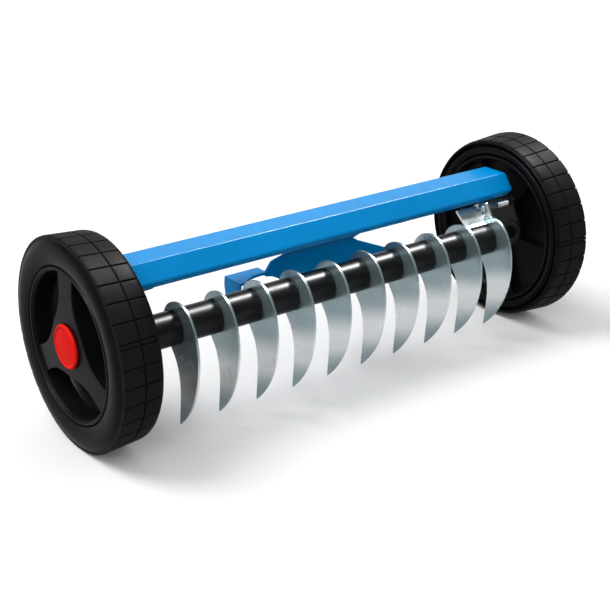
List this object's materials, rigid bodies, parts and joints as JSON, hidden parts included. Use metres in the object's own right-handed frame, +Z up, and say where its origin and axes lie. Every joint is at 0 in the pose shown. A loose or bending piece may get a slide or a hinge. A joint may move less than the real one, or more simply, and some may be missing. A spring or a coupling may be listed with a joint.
{
  "type": "wheeled lawn scarifier head",
  "caption": "Push-pull lawn scarifier head: sickle blades on a swinging shaft hang below a painted beam between two treaded wheels, with a socket for a long handle.",
  "frame": {"origin": "on the ground, below the middle of the wheel axle", "axes": "+X along the axle towards the right wheel, +Y towards the side the handle leaves from, +Z up"},
  "size_m": [0.4644, 0.1644, 0.1644],
  "materials": {
    "blue_paint": "glossy bright blue powder coat",
    "black_paint": "satin black paint",
    "black_plastic": "satin black moulded plastic",
    "tread": "matt black moulded tread",
    "red_plastic": "semi-gloss red moulded plastic",
    "blade_steel": "bright galvanised spring steel, faintly streaked",
    "zinc_steel": "zinc plated",
    "nylon": "black nylon bearing bush"
  },
  "bodies": {
    "frame": {"beam": "blue_paint", "handle_bracket": "blue_paint", "handle_socket": "blue_paint", "stop_bolt": "zinc_steel", "stop_nut": "zinc_steel", "left_beam_end_cap": "blue_paint", "left_end_bracket": "black_paint", "left_bracket_screw_1": "zinc_steel", "left_bracket_screw_2": "zinc_steel", "left_axle_bolt": "zinc_steel", "left_axle_nut": "zinc_steel", "left_axle_washer": "zinc_steel", "left_shaft_bush": "nylon", "right_beam_end_cap": "blue_paint", "right_end_bracket": "black_paint", "right_bracket_screw_1": "zinc_steel", "right_bracket_screw_2": "zinc_steel", "right_axle_bolt": "zinc_steel", "right_axle_nut": "zinc_steel", "right_axle_washer": "zinc_steel", "right_shaft_bush": "nylon"},
    "blade_shaft": {"blade_shaft": "black_paint", "shaft_nut": "zinc_steel", "stop_arm": "zinc_steel", "blade_1": "blade_steel", "blade_2": "blade_steel", "blade_3": "blade_steel", "blade_4": "blade_steel", "blade_5": "blade_steel", "blade_6": "blade_steel", "blade_7": "blade_steel", "blade_8": "blade_steel", "blade_9": "blade_steel", "blade_10": "blade_steel", "spacer_end": "black_plastic", "spacer_1": "black_plastic", "spacer_2": "black_plastic", "spacer_3": "black_plastic", "spacer_4": "black_plastic", "spacer_5": "black_plastic", "spacer_6": "black_plastic", "spacer_7": "black_plastic", "spacer_8": "black_plastic", "spacer_9": "black_plastic"},
    "left_wheel": {"left_tyre": "tread", "left_wheel_rim": "black_plastic", "left_hub_cap": "red_plastic", "left_wheel_bush": "nylon"},
    "right_wheel": {"right_tyre": "tread", "right_wheel_rim": "black_plastic", "right_hub_cap": "red_plastic", "right_wheel_bush": "nylon"},
    "clamp_screw": {"handle_clamp_screw": "black_plastic"}
  },
  "joints": [
    {"name": "left_wheel_spin", "type": "hinge", "parent": "frame", "child": "left_wheel", "pos_m": [-0.212, 0, 0.0824], "axis": [1, 0, 0], "continuous": true},
    {"name": "right_wheel_spin", "type": "hinge", "parent": "frame", "child": "right_wheel", "pos_m": [0.212, 0, 0.0824], "axis": [1, 0, 0], "continuous": true},
    {"name": "blade_shaft_swing", "type": "hinge", "parent": "frame", "child": "blade_shaft", "pos_m": [0, -0.032, 0.0904], "axis": [1, 0, 0], "range_deg": [0, 25]},
    {"name": "clamp_screw_turn", "type": "hinge", "parent": "frame", "child": "clamp_screw", "pos_m": [0.03, 0.02985, 0.10254], "axis": [1, 0, 0], "range_deg": [0, 360]}
  ]
}
